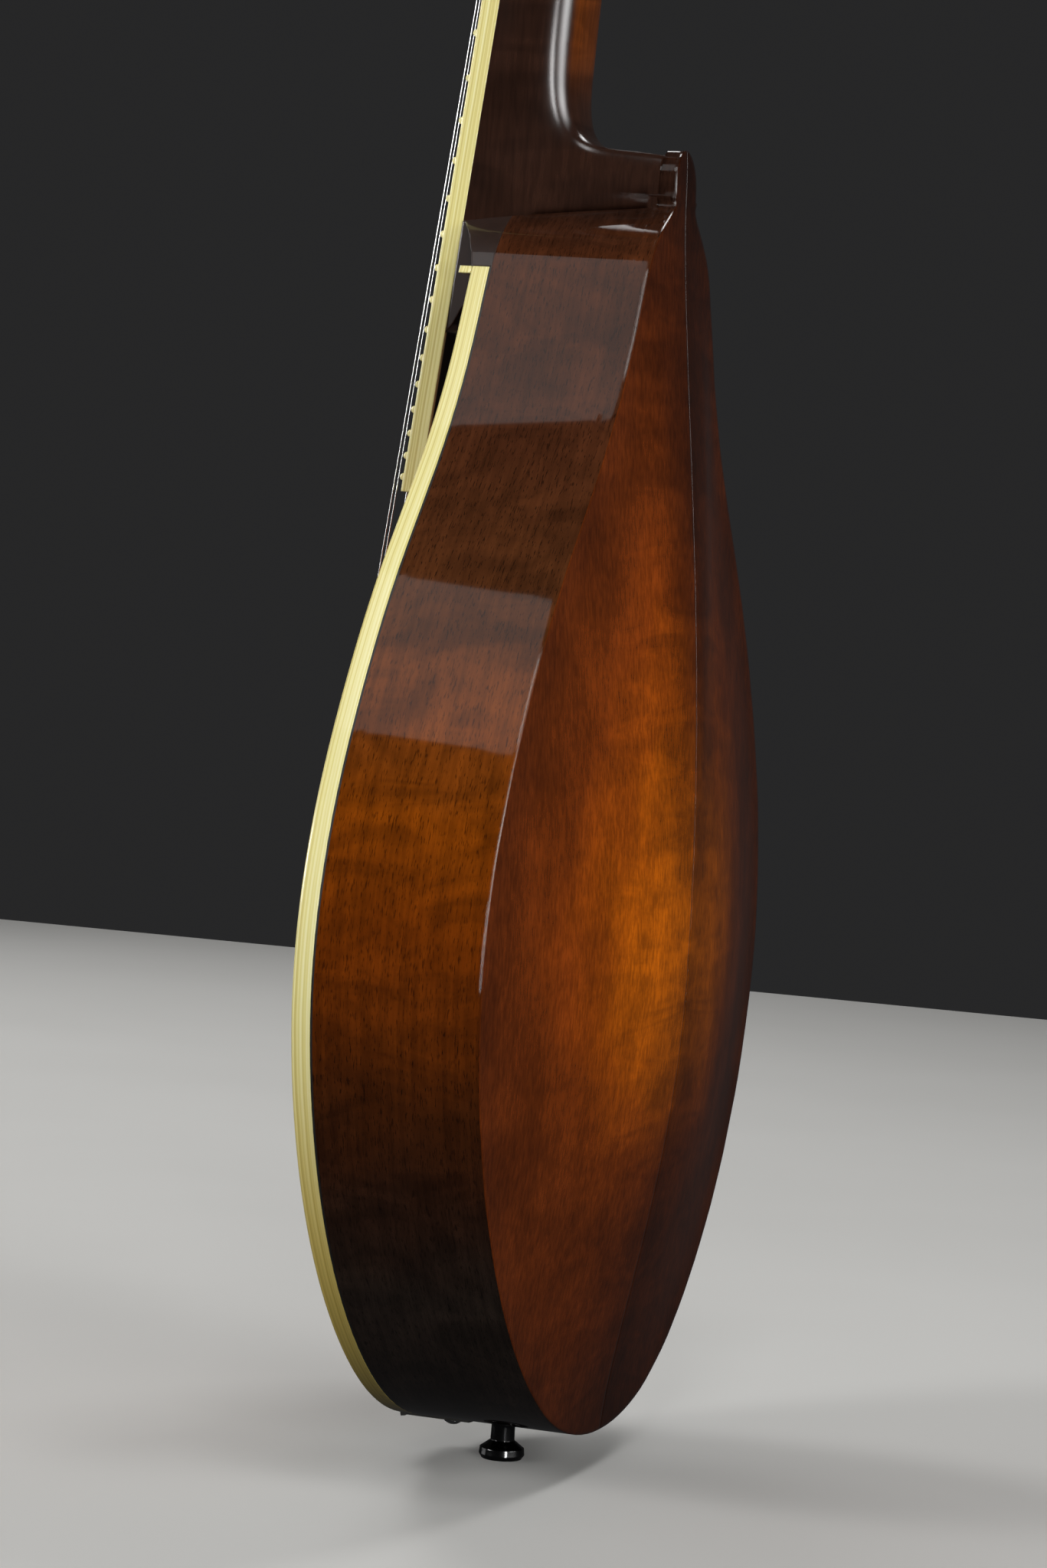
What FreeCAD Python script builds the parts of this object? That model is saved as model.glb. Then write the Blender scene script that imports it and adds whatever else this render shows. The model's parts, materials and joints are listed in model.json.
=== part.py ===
"""An A-style mandolin with carved top and back, as separate pieces. Millimetres.

+Z runs up towards the headstock, +X to the treble side and -Y out of the front.
The origin is on the strap button's axis, at the tail end of the ribs.
"""

import FreeCAD, Part
import math
import os

from FreeCAD import Placement, Rotation, Vector

# Driving dimensions
SCALE_LENGTH = 352.4
FRET_COUNT = 22
TEETH = 16

BODY_LENGTH = 341.0
OUTLINE_HALF_WIDTH = 127.0
WIDEST_Z = 128.0
TOP_EDGE_Y = -22.15
BACK_EDGE_Y = 28.15
PLATE_EDGE = 5.2
LINE_HEIGHT = 0.6
RIB_THICKNESS = 2.2
BINDING_WIDTH = 2.0
ARCH_HEIGHT = 16.0
ARCH_POWER = 1.5
PLATE_THICKNESS = 4.0
RECURVE_INSET = 12.0
TONE_BAR_Y = -21.5
TOP_END_Z = 317.0

NECK_TILT = 5.34
HEADSTOCK_TILT = 14.0
FRET_13_Y = -34.95
FRET_13_Z = 326.4
BOARD_THICKNESS = 5.2
BOARD_HALF_AT_NUT = 14.5
BOARD_HALF_AT_FRET_13 = 19.0
BOARD_PAST_LAST_FRET = 4.0
BOARD_BINDING = 1.6
FRET_HALF_WIDTH = 1.0
FRET_HEIGHT = 1.0
NUT_LENGTH = 4.5
BUTTON_HALF_WIDTH = 9.4
BUTTON_THICKNESS = 4.6
STRAP_BUTTON_LENGTH = 11.6
SHAFT_TOP = 534.0
SHAFT_PITCH = 10.8
SPINE_LAG = 3.0

STRING_AT_NUT = 1.5
STRING_AT_BRIDGE = 3.9
COURSE_NAMES = ("g", "d", "a", "e")
STRING_RADIUS = {"g": 0.5, "d": 0.33, "a": 0.2, "e": 0.15}
COURSE_PITCH_NUT = 7.1
COURSE_PITCH_BRIDGE = 12.6
COURSE_PITCH_TAIL = 6.2
PAIR_GAP_NUT = 2.1
PAIR_GAP_BRIDGE = 3.0

HEAD_THICKNESS = 13.5
OVERLAY_THICKNESS = 1.5
HEAD_LENGTH = 142.0
POST_X = 14.5
FIRST_POST = 33.0
POST_PITCH = 23.0
POST_RADIUS = 3.0
POST_RISE = 15.0
PLATE_GAUGE = 1.2
GEAR_RADIUS = 5.8
GEAR_THICKNESS = 3.0
WORM_RADIUS = 2.6
WORM_THREADS = 5
WORM_CLEARANCE = 0.15
KEY_SHAFT_RADIUS = 1.6
BUTTON_START_X = 37.5
RUNNING_CLEARANCE = 0.05
WINDING_TURNS = 4

BRIDGE_HALF_LENGTH = 54.0
BRIDGE_POST_X = 36.0
BRIDGE_POST_RADIUS = 1.9
THUMBWHEEL_RADIUS = 6.0
THUMBWHEEL_THICKNESS = 1.8
WHEEL_GAP = 1.2
SADDLE_HEIGHT = 8.6
SADDLE_HALF_DEPTH = 4.5
SADDLE_OVER_STRINGS = 0.4
FOOT_ARCH_RADIUS = 150.0
FOOT_ARCH_RISE = 3.5

TAIL_CORNER_Y = -26.5
TAIL_SLOPE = 8.5
TAIL_GAUGE = 1.2
TAIL_HALF_WIDTH = 12.0
HOOK_Z = 32.0
HOOK_HEIGHT = 4.3
COVER_START = 13.0
COVER_LENGTH = 32.0
COVER_GAUGE = 0.8

# Sizes that follow from those
BACK_PLATE_Y = BACK_EDGE_Y - PLATE_EDGE
TOP_PLATE_Y = TOP_EDGE_Y + PLATE_EDGE + LINE_HEIGHT
LINE_Y = TOP_EDGE_Y + PLATE_EDGE


def fret_distance(fret):
    """Distance from the nut to a fret along the board."""
    return SCALE_LENGTH * (1 - 2 ** (-fret / 12))


BOARD_END = fret_distance(FRET_COUNT) + BOARD_PAST_LAST_FRET
TILT = math.radians(NECK_TILT)
NUT_Y = FRET_13_Y + fret_distance(13) * math.sin(TILT)
NUT_Z = FRET_13_Z + fret_distance(13) * math.cos(TILT)

# The board's frame: z along the strings towards the headstock from the nut, y into the neck.
BOARD_FRAME = Placement(Vector(0, NUT_Y, NUT_Z), Rotation(Vector(1, 0, 0), -NECK_TILT))
HEAD_ORIGIN = BOARD_FRAME.multVec(Vector(0, BOARD_THICKNESS, NUT_LENGTH))
HEAD_FRAME = Placement(HEAD_ORIGIN, Rotation(Vector(1, 0, 0), -NECK_TILT - HEADSTOCK_TILT))

# The tailpiece's frame: its plate slopes with the strings from its bend at the tail.
TAIL_FRAME = Placement(Vector(0, TAIL_CORNER_Y, 0), Rotation(Vector(1, 0, 0), TAIL_SLOPE))


# Small helpers
def placed(shape, frame):
    """A copy of a shape drawn in a local frame, moved to where that frame is."""
    moved = shape.copy()
    moved.Placement = frame.multiply(moved.Placement)
    return moved


def box(x0, x1, y0, y1, z0, z1):
    return Part.makeBox(x1 - x0, y1 - y0, z1 - z0, Vector(x0, y0, z0))


def rod(radius, start, end):
    """A round bar between two points."""
    along = Vector(*end) - Vector(*start)
    return Part.makeCylinder(radius, along.Length, Vector(*start), along)


def spline(points, start=None, end=None):
    """A smooth curve through points, with its end directions if they are given."""
    curve = Part.BSplineCurve()
    if start is None:
        curve.interpolate(points)
    else:
        curve.interpolate(Points=points, InitialTangent=start, FinalTangent=end)
    return curve


def fused(shapes):
    """One solid from overlapping ones."""
    joined = shapes[0]
    for shape in shapes[1:]:
        joined = joined.fuse(shape)
    return joined.removeSplitter()


def side_profile(points, half_width):
    """A prism across the instrument, from a closed outline of (y, z) points."""
    corners = [Vector(-half_width, y, z) for y, z in points]
    face = Part.Face(Part.makePolygon(corners + corners[:1]))
    return face.extrude(Vector(2 * half_width, 0, 0))


def mirrored(shape):
    return shape.mirror(Vector(0, 0, 0), Vector(1, 0, 0))


# Body outline
OUTLINE = (
    (0, 0), (42, 7.6), (79, 31.3), (106, 63.5), (122, 99), (OUTLINE_HALF_WIDTH, 132), (121, 167),
    (106, 200), (84.5, 233), (58, 265.5), (42, 290.5), (32.2, 312), (19.3, 330),
    (9.5, 338.3), (0, BODY_LENGTH),
)  # fmt: skip


def outline_curve(inset):
    """The treble half of the body's outline, moved inwards."""
    points = [Vector(x, 0, z) for x, z in OUTLINE]
    half = spline(points, Vector(60, 0, 0), Vector(-12, 0, 0))
    if inset == 0:
        return half
    count = 48
    first, last = half.FirstParameter, half.LastParameter
    moved = []
    for i in range(count + 1):
        at = first + (last - first) * i / count
        inward = Vector(0, 1, 0).cross(half.tangent(at)[0])
        moved.append(half.value(at) - inward * inset)
    moved[0].x = 0
    moved[-1].x = 0
    return spline(moved)


def outline_prism(inset, y0, y1):
    """The body's outline as a solid block from depth y0 to y1."""
    half = outline_curve(inset).toShape()
    other = mirrored(half)
    face = Part.Face(Part.Wire([half, other]))
    face.translate(Vector(0, y0, 0))
    return face.extrude(Vector(0, y1 - y0, 0))


def edge_distances():
    """(bearing, distance) of outline points seen from the widest point's centre."""
    half = outline_curve(0)
    count = 400
    first, last = half.FirstParameter, half.LastParameter
    table = []
    for i in range(count + 1):
        point = half.value(first + (last - first) * i / count)
        up = point.z - WIDEST_Z
        table.append((math.atan2(point.x, up), math.hypot(point.x, up)))
    return sorted(table)


EDGE_TABLE = edge_distances()


def edge_distance(bearing):
    """Distance from the widest point's centre to the outline at a bearing."""
    low, high = EDGE_TABLE[0], EDGE_TABLE[-1]
    for a, b in zip(EDGE_TABLE, EDGE_TABLE[1:]):
        if a[0] <= bearing <= b[0]:
            low, high = a, b
            break
    span = high[0] - low[0]
    share = (bearing - low[0]) / span if span > 0 else 0
    return low[1] + (high[1] - low[1]) * min(max(share, 0), 1)


def arch(x, z):
    """Height of the carved arch above the plate's edge."""
    up = z - WIDEST_Z
    bearing = abs(math.atan2(abs(x), up))
    ratio = min(math.hypot(x, up) / edge_distance(bearing), 1.5)
    fall = 1 - ratio * ratio
    return ARCH_HEIGHT * math.copysign(abs(fall) ** ARCH_POWER, fall)


def arch_block(base_y, outward, far):
    """All the space outside an arched surface, out to a distance: outward is -1 at the front."""
    step = 10
    grid = []
    for x in range(-140, 141, step):
        grid.append([Vector(x, base_y + outward * arch(x, z), z) for z in range(-16, 365, step)])
    surface = Part.BSplineSurface()
    surface.interpolate(grid)
    return surface.toShape().extrude(Vector(0, outward * far, 0))


def halves(shape):
    """A shape cut down the centre line: the bass half, then the treble half."""
    bass = shape.common(box(-200, 0, -90, 90, -50, 400))
    treble = shape.common(box(0, 200, -90, 90, -50, 400))
    return bass, treble


# Carved plates
def f_hole():
    """The treble f-hole as a cutter through the top."""
    spine = ((44.5, 182), (50.5, 173), (51, 160), (54.5, 146), (61.5, 137))
    widths = (1.0, 2.4, 3.0, 2.4, 1.0)
    left = [Vector(x - w, 0, z - 0.4 * w) for (x, z), w in zip(spine, widths)]
    right = [Vector(x + w, 0, z + 0.4 * w) for (x, z), w in zip(spine, widths)]
    edges = [
        spline(left).toShape(),
        Part.makeLine(left[-1], right[-1]),
        spline(right).toShape(),
        Part.makeLine(right[0], left[0]),
    ]
    stem = Part.Face(Part.Wire(Part.__sortEdges__(edges))).extrude(Vector(0, 60, 0))
    stem.translate(Vector(0, -60, 0))
    upper = rod(3.2, (43.0, -60, 178.6), (43.0, 0, 178.6))
    lower = rod(4.2, (63.0, -60, 141.5), (63.0, 0, 141.5))
    notch = side_notch((50.9, 160.4), 5.0)
    return fused([stem, upper, lower, notch])


def side_notch(centre, half_length):
    """The small nick across the middle of an f-hole."""
    x, z = centre
    corners = [
        Vector(x - half_length, 0, z),
        Vector(x, 0, z - 1.2),
        Vector(x + half_length, 0, z),
        Vector(x, 0, z + 1.2),
    ]
    face = Part.Face(Part.makePolygon(corners + corners[:1]))
    face.translate(Vector(0, -60, 0))
    return face.extrude(Vector(0, 60, 0))


def hollow_block(y0, y1, end_z):
    """The space inside the plates' glued edges, short of the head block."""
    inner = outline_prism(RECURVE_INSET, y0, y1)
    return inner.common(box(-200, 200, y0, y1, -10, end_z))


def top_plate():
    rim = outline_prism(BINDING_WIDTH, -60, TOP_PLATE_Y)
    plate = rim.cut(arch_block(TOP_EDGE_Y, -1, 80))
    plate = plate.common(box(-200, 200, -60, 10, -10, TOP_END_Z - BINDING_WIDTH))
    inner_arch = arch_block(TOP_EDGE_Y + PLATE_THICKNESS, -1, 80)
    hollow = hollow_block(-60, TOP_PLATE_Y, 290).cut(inner_arch)
    hole = f_hole()
    return halves(plate.cut(hollow).cut(hole).cut(mirrored(hole)))


def back_button():
    """The tongue of the back that covers the heel's foot."""
    end_z = 344
    tongue = box(-BUTTON_HALF_WIDTH, BUTTON_HALF_WIDTH, BACK_PLATE_Y, 60, 318, end_z)
    end = rod(BUTTON_HALF_WIDTH, (0, BACK_PLATE_Y, end_z), (0, 60, end_z))
    return fused([tongue, end])


def back_plate():
    slab = outline_prism(0, BACK_PLATE_Y, 60)
    slab = slab.fuse(back_button())
    plate = slab.cut(arch_block(BACK_EDGE_Y, 1, 80))
    crown_y = BACK_PLATE_Y + BUTTON_THICKNESS
    plate = plate.fuse(back_button().common(box(-50, 50, 0, crown_y, 330, 400)))
    inner_arch = arch_block(BACK_EDGE_Y - PLATE_THICKNESS, 1, 80)
    hollow = hollow_block(BACK_PLATE_Y, 60, 290).cut(inner_arch)
    return halves(plate.cut(hollow))


# Rim and what is glued inside it
def tenon():
    """The neck's tongue inside the head block."""
    return box(-8, 8, -14, 14, 322, 345)


def ribs():
    ring = outline_prism(0, TOP_PLATE_Y, BACK_PLATE_Y)
    ring = ring.cut(outline_prism(RIB_THICKNESS, TOP_PLATE_Y - 1, BACK_PLATE_Y + 1))
    holes = Part.makeCompound([strap_screw_hole()] + tailpiece_screws())
    return halves(ring.cut(tenon()).cut(holes))


def inside(y0, y1):
    return outline_prism(RIB_THICKNESS, y0, y1)


def head_block():
    block = inside(TOP_PLATE_Y, BACK_PLATE_Y).common(box(-60, 60, -40, 60, 292, 360))
    return block.cut(tenon())


def tail_block():
    block = inside(TOP_PLATE_Y, BACK_PLATE_Y).common(box(-26, 26, -40, 60, -10, 19))
    return block.cut(strap_screw_hole()).cut(Part.makeCompound(tailpiece_screws()))


def linings():
    """Strips that widen the glue joint between ribs and plates."""
    depth = 7.0
    strips = []
    for y0, y1 in ((TOP_PLATE_Y, TOP_PLATE_Y + depth), (BACK_PLATE_Y - depth, BACK_PLATE_Y)):
        strip = inside(y0, y1).cut(outline_prism(RIB_THICKNESS + 5, y0 - 1, y1 + 1))
        for x0, x1 in ((-200, -0.2), (0.2, 200)):
            strips.append(strip.common(box(x0, x1, -60, 60, -10, 291.8)).cut(tail_zone()))
    return Part.makeCompound(strips)


def tail_zone():
    return box(-26.2, 26.2, -60, 60, -20, 19.2)


def tone_bar(side):
    """A spruce bar under the top; side is -1 for bass and 1 for treble."""
    bar = box(-2.5, 2.5, -45, TONE_BAR_Y, -100, 95)
    frame = Placement(Vector(side * 27, 0, 160), Rotation(Vector(0, 1, 0), side * 4))
    inner = arch_block(TOP_EDGE_Y + PLATE_THICKNESS, -1, 80)
    return placed(bar, frame).cut(inner)


# Edge trim
def edge_ring(y0, y1):
    """A strip round the top's edge that turns in at its upper end."""
    ring = outline_prism(0, y0, y1).common(box(-200, 200, -60, 10, -10, TOP_END_Z))
    inner = outline_prism(BINDING_WIDTH, y0 - 1, y1 + 1)
    inner = inner.common(box(-200, 200, -60, 10, -10, TOP_END_Z - BINDING_WIDTH))
    return ring.cut(inner)


def top_binding():
    """The binding's halves, with the front edge eased and the ends returned forwards."""
    eased = 0.6
    sides = []
    for side, half in zip((-1, 1), halves(edge_ring(TOP_EDGE_Y, LINE_Y))):
        outer = [edge for edge in half.Edges if is_outer_front_edge(edge)]
        half = half.makeFillet(eased, outer)
        x0, x1 = sorted((side * 20.0, side * 32.5))
        end = box(x0, x1, TOP_EDGE_Y - 3.3, TOP_EDGE_Y, TOP_END_Z - BINDING_WIDTH, TOP_END_Z)
        sides.append(half.fuse(end.common(outline_prism(0, -60, TOP_EDGE_Y))))
    return sides


def is_outer_front_edge(edge):
    """Whether an edge is the long one round the body's front corner."""
    bounds = edge.BoundBox
    flat = abs(bounds.YMin - TOP_EDGE_Y) < 0.01 and abs(bounds.YMax - TOP_EDGE_Y) < 0.01
    reach = max(bounds.XMax, -bounds.XMin)
    return flat and edge.Length > 300 and reach > OUTLINE_HALF_WIDTH - 1


def top_line():
    return edge_ring(LINE_Y, TOP_PLATE_Y)


# Neck
def glue_y(z):
    """Depth of the face under the fretboard at a height."""
    under = BOARD_FRAME.multVec(Vector(0, BOARD_THICKNESS, 0))
    return under.y + (z - under.z) * math.tan(TILT)


def board_half(distance):
    """Half the board's width at a distance from the nut."""
    growth = (BOARD_HALF_AT_FRET_13 - BOARD_HALF_AT_NUT) / fret_distance(13)
    return BOARD_HALF_AT_NUT + growth * distance


def neck_back(z):
    """Depth of the neck's back along its straight part."""
    return -3.2 + (z - 374.5) * 0.0476


def shaft_sections():
    """Sections of the straight part: evenly spaced, with two close ones at the top end."""
    sections = []
    for step in (0, 1 / 3) + tuple(range(1, 14)):
        z = SHAFT_TOP - SHAFT_PITCH * step
        sections.append((z, neck_back(z - SPINE_LAG), z - SPINE_LAG, 0))
    return sections


# Each section: height of its front edge, then its spine (y, z) and how much it is a heel
HEEL_SECTIONS = (
    (377, neck_back(376), 376, 0.05),
    (363, -3.4, 365, 0.25),
    (352, -1.2, 355.8, 0.5),
    (343, 6.0, 352.6, 0.8),
    (334, 15.5, 352.4, 1),
    (324, 26, 351.2, 1),
    (312, 37, 350, 1),
    (296, 41, 335, 1),
    (280, 41, 315, 1),
)

# Section shapes from spine to front edge: (share of half width, share of depth)
NECK_SHAPE = ((0, 1), (0.45, 1), (0.82, 0.86), (0.98, 0.55), (1, 0.25), (1, 0))
HEEL_SHAPE = ((0, 1), (0.34, 1), (0.47, 0.97), (0.56, 0.66), (0.80, 0.30), (1, 0))


def neck_section(front_z, spine_y, spine_z, heel):
    """Control points of one section, from the bass edge round the back to the treble edge."""
    half = board_half((NUT_Z - front_z) / math.cos(TILT))
    front = Vector(0, glue_y(front_z), front_z)
    depth = Vector(0, spine_y, spine_z) - front
    treble = []
    for (w0, d0), (w1, d1) in zip(NECK_SHAPE, HEEL_SHAPE):
        across = half * (w0 + (w1 - w0) * heel)
        treble.append(front + depth * (d0 + (d1 - d0) * heel) + Vector(across, 0, 0))
    bass = [Vector(-p.x, p.y, p.z) for p in reversed(treble[1:])]
    return bass + treble


def clamped_knots(count):
    """Knots and multiplicities of a cubic with a number of control points."""
    inner = count - 4
    return [float(i) for i in range(inner + 2)], [4] + [1] * inner + [4]


def neck_blank():
    """The shaft and heel as one smooth solid, before it is trimmed to the body."""
    poles = [neck_section(*section) for section in shaft_sections() + list(HEEL_SECTIONS)]
    uknots, umults = clamped_knots(len(poles))
    vknots, vmults = clamped_knots(len(poles[0]))
    surface = Part.BSplineSurface()
    surface.buildFromPolesMultsKnots(poles, umults, vmults, uknots, vknots, False, False, 3, 3)
    skin = surface.toShape()
    top_line_edge = Part.makeLine(poles[0][0], poles[0][-1])
    low_line_edge = Part.makeLine(poles[-1][0], poles[-1][-1])
    sides = [Part.makeLine(poles[0][i], poles[-1][i]) for i in (0, -1)]
    front = Part.Face(Part.Wire(Part.__sortEdges__([top_line_edge, low_line_edge] + sides)))
    ends = []
    for at, line in ((uknots[0], top_line_edge), (uknots[-1], low_line_edge)):
        curve = surface.uIso(at).toShape()
        ends.append(Part.Face(Part.Wire([curve, line])))
    shell = Part.makeShell([skin, front] + ends)
    shell.sewShape()
    solid = Part.Solid(shell)
    if solid.Volume < 0:
        solid.reverse()
    return solid


HEAD_OUTLINE = (
    (14.6, 0), (15.4, 6), (20.5, 15), (27.5, 24), (29.5, 40), (29.0, 72),
    (29.2, 104), (30.5, 122), (25.5, 131),
)  # fmt: skip


def head_prism(y0, y1, start):
    """The headstock's outline as a solid in its own frame."""
    side = [Vector(x, 0, z) for x, z in HEAD_OUTLINE]
    edge = spline(side).toShape()
    crown_points = [side[-1], Vector(15, 0, 133.5), Vector(7, 0, 139), Vector(0, 0, HEAD_LENGTH)]
    crown = spline(crown_points).toShape()
    base = Part.makeLine(Vector(-side[0].x, 0, 0), side[0])
    edges = [edge, crown, mirrored(crown), mirrored(edge), base]
    face = Part.Face(Part.Wire(Part.__sortEdges__(edges)))
    face.translate(Vector(0, y0, 0))
    return face.extrude(Vector(0, y1 - y0, 0)).common(box(-60, 60, -60, 60, start, 200))


def post_heights():
    return [FIRST_POST + POST_PITCH * i for i in range(4)]


def post_holes(radius, y0, y1):
    holes = []
    for side in (-1, 1):
        for z in post_heights():
            holes.append(rod(radius, (side * POST_X, y0, z), (side * POST_X, y1, z)))
    return Part.makeCompound(holes)


def rod_channel():
    """The truss rod's bore, with the pocket for its nut in the headstock."""
    bore = placed(rod(2.6, (0, 10.2, -168), (0, 10.2, 10)), BOARD_FRAME)
    pocket = placed(box(-5, 5, -5, 10, 1.2, 24), HEAD_FRAME)
    return bore, pocket


def neck():
    shaft = neck_blank().cut(outline_prism(0, -60, 90))
    shaft = shaft.cut(box(-60, 60, BACK_PLATE_Y, 90, 200, 400))
    shaft = shaft.cut(placed(box(-60, 60, -80, 0, -0.01, 60), HEAD_FRAME))
    head = placed(head_prism(0, HEAD_THICKNESS, 0), HEAD_FRAME)
    bore, pocket = rod_channel()
    whole = shaft.fuse(head).fuse(tenon()).cut(bore).cut(pocket)
    holes = placed(post_holes(POST_RADIUS + 1.0, -20, 30), HEAD_FRAME)
    screws = placed(Part.makeCompound(tuner_screws()), HEAD_FRAME)
    return with_divided_faces(whole.cut(holes).cut(screws), (348, 368, 394, 440, 490))


def with_divided_faces(solid, heights):
    """The same solid, its long faces divided at heights so that a mesh follows them closely."""
    levels = (200,) + heights + (700,)
    slices = [solid.common(box(-90, 90, -90, 90, z0, z1)) for z0, z1 in zip(levels, levels[1:])]
    joined = slices[0]
    for piece in slices[1:]:
        joined = joined.fuse(piece)
    return joined


def truss_rod():
    return placed(rod(2.5, (0, 10.2, -166), (0, 10.2, 6)), BOARD_FRAME)


def neck_extension():
    """The riser that carries the fretboard over the top, and the shoulder under the joint."""
    body = outline_prism(0, -60, TOP_PLATE_Y)
    shoulder_points = [
        (TOP_PLATE_Y, TOP_END_Z), (TOP_EDGE_Y, TOP_END_Z), (-23.3, 321), (-25.6, 326),
        (glue_y(331), 331), (glue_y(345), 345), (TOP_PLATE_Y, 345),
    ]  # fmt: skip
    shoulder = side_profile(shoulder_points, 60).common(body)
    tongue_points = [
        (TOP_PLATE_Y, 316), (-21, 311.5), (-24.6, 310), (-28, 306.5), (-30.3, 302),
        (glue_y(299.5), 299.5), (glue_y(345), 345), (TOP_PLATE_Y, 345),
    ]  # fmt: skip
    half = board_half(fret_distance(13)) + 0.2
    tongue = side_profile(tongue_points, half).common(body)
    joined = shoulder.fuse(tongue).removeSplitter()
    for neighbour in top_plate() + (edge_ring(TOP_EDGE_Y, LINE_Y), edge_ring(LINE_Y, TOP_PLATE_Y)):
        joined = joined.cut(neighbour)
    return joined


# Fretboard
def board_prism(inset, y0, y1, start, end):
    """The board's tapering outline, inset at its sides, between two distances from the nut."""
    corners = [
        Vector(-board_half(start) + inset, y0, -start),
        Vector(board_half(start) - inset, y0, -start),
        Vector(board_half(end) - inset, y0, -end),
        Vector(-board_half(end) + inset, y0, -end),
    ]
    return Part.Face(Part.makePolygon(corners + corners[:1])).extrude(Vector(0, y1 - y0, 0))


def fret_bead(x0, x1, z):
    """A length of fret crown, or of the bead on the binding beside it."""
    radius = (FRET_HALF_WIDTH ** 2 + FRET_HEIGHT ** 2) / (2 * FRET_HEIGHT)
    bead = rod(radius, (x0, radius - FRET_HEIGHT, z), (x1, radius - FRET_HEIGHT, z))
    return bead.common(box(x0 - 1, x1 + 1, -FRET_HEIGHT - 1, 0, z - 3, z + 3))


def fret_wires():
    """Crown and tang of every fret, in the board's frame."""
    wires = []
    for fret in range(1, FRET_COUNT + 1):
        z = -fret_distance(fret)
        half = board_half(-z) - BOARD_BINDING
        tang = box(-half, half, 0, 1.6, z - 0.25, z + 0.25)
        wires.append(fret_bead(-half, half, z).fuse(tang))
    return wires


def marker_places():
    """Where the pearl dots go: (x, distance from the nut)."""
    def between(fret):
        return (fret_distance(fret - 1) + fret_distance(fret)) / 2

    singles = [(0.0, between(fret)) for fret in (5, 7, 10, 15)]
    return singles + [(-6.0, between(12)), (6.0, between(12))]


def fret_markers():
    return [rod(2.2, (x, 0, -d), (x, 1.0, -d)) for x, d in marker_places()]


def side_dots():
    dots = []
    for x, distance in marker_places():
        edge = -board_half(distance)
        z = -distance + x * 0.4
        dots.append(rod(0.8, (edge - 0.4, 2.4, z), (edge + 1.2, 2.4, z)))
    wedge = board_prism(0, -1, BOARD_THICKNESS + 1, 0, BOARD_END)
    return [dot.common(wedge) for dot in dots]


def fretboard():
    board = board_prism(BOARD_BINDING, 0, BOARD_THICKNESS, 0, BOARD_END - BOARD_BINDING)
    board = board.cut(Part.makeCompound(fret_wires()))
    return placed(board.cut(Part.makeCompound(fret_markers())), BOARD_FRAME)


def fretboard_binding():
    strip = board_prism(0, 0, BOARD_THICKNESS, 0, BOARD_END)
    board_end = BOARD_END - BOARD_BINDING
    strip = strip.cut(board_prism(BOARD_BINDING, -1, BOARD_THICKNESS + 1, -1, board_end))
    for fret in range(1, FRET_COUNT + 1):
        z = -fret_distance(fret)
        half = board_half(-z)
        for side in (-1, 1):
            near, far = sorted((side * (half - BOARD_BINDING), side * (half - 0.15)))
            strip = strip.fuse(fret_bead(near, far, z))
    return placed(strip.cut(Part.makeCompound(side_dots())), BOARD_FRAME)


def nut():
    half = BOARD_HALF_AT_NUT
    blank = box(-half, half, -STRING_AT_NUT - 0.6, BOARD_THICKNESS, 0, NUT_LENGTH)
    blank = blank.cut(placed(box(-60, 60, -9, 0, 0, 9), nut_bevel()))
    for name, x, _ in string_places():
        radius = STRING_RADIUS[name] + RUNNING_CLEARANCE
        slot = box(x - radius, x + radius, -9, -STRING_AT_NUT, -1, NUT_LENGTH + 1)
        slot = slot.fuse(rod(radius, (x, -STRING_AT_NUT, -1), (x, -STRING_AT_NUT, NUT_LENGTH + 1)))
        blank = blank.cut(slot)
    return placed(blank, BOARD_FRAME)


def nut_bevel():
    """The frame of the nut's rear slope, which falls towards the headstock."""
    return Placement(Vector(0, -STRING_AT_NUT - 0.6, 1.2), Rotation(Vector(1, 0, 0), -18))


# Strings
def string_places():
    """(course, x at the nut, x at the bridge) of the eight strings, bass to treble."""
    places = []
    for i, name in enumerate(COURSE_NAMES):
        for side in (-0.5, 0.5):
            at_nut = (i - 1.5) * COURSE_PITCH_NUT + side * PAIR_GAP_NUT
            at_bridge = (i - 1.5) * COURSE_PITCH_BRIDGE + side * PAIR_GAP_BRIDGE
            places.append((name, at_nut, at_bridge))
    return places


def string_posts():
    """(side, height) of the post that each of the eight strings winds on."""
    low = post_heights()
    bass = [(-1, z) for z in low]
    treble = [(1, z) for z in reversed(low)]
    return bass + treble


def winding_y(post_z):
    """Depth of the turns of string on a post, higher on every second post."""
    order = round((post_z - FIRST_POST) / POST_PITCH)
    return -OVERLAY_THICKNESS - 3.1 - 1.6 * (order % 2)


def hook_x(index):
    """How far across the tailpiece a string's hook is."""
    return (index - 3.5) * COURSE_PITCH_TAIL / 2


def bridge_point(x):
    return BOARD_FRAME.multVec(Vector(x, -STRING_AT_BRIDGE, -SCALE_LENGTH))


def string_path(index):
    """Corner points of one string, from its hook to its post."""
    name, at_nut, at_bridge = string_places()[index]
    side, post_z = string_posts()[index]
    wound = POST_RADIUS + 3 * STRING_RADIUS[name] + 0.12
    post = Vector(side * (POST_X - wound), winding_y(post_z), post_z)
    lift = Vector(0, -0.1, 0)
    return [
        TAIL_FRAME.multVec(Vector(hook_x(index), -HOOK_HEIGHT, HOOK_Z)),
        bridge_point(at_bridge) + lift,
        BOARD_FRAME.multVec(Vector(at_nut, -STRING_AT_NUT - 0.02, 0)),
        BOARD_FRAME.multVec(Vector(at_nut, -STRING_AT_NUT - 0.02, NUT_LENGTH)),
        HEAD_FRAME.multVec(post),
    ]


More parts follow.
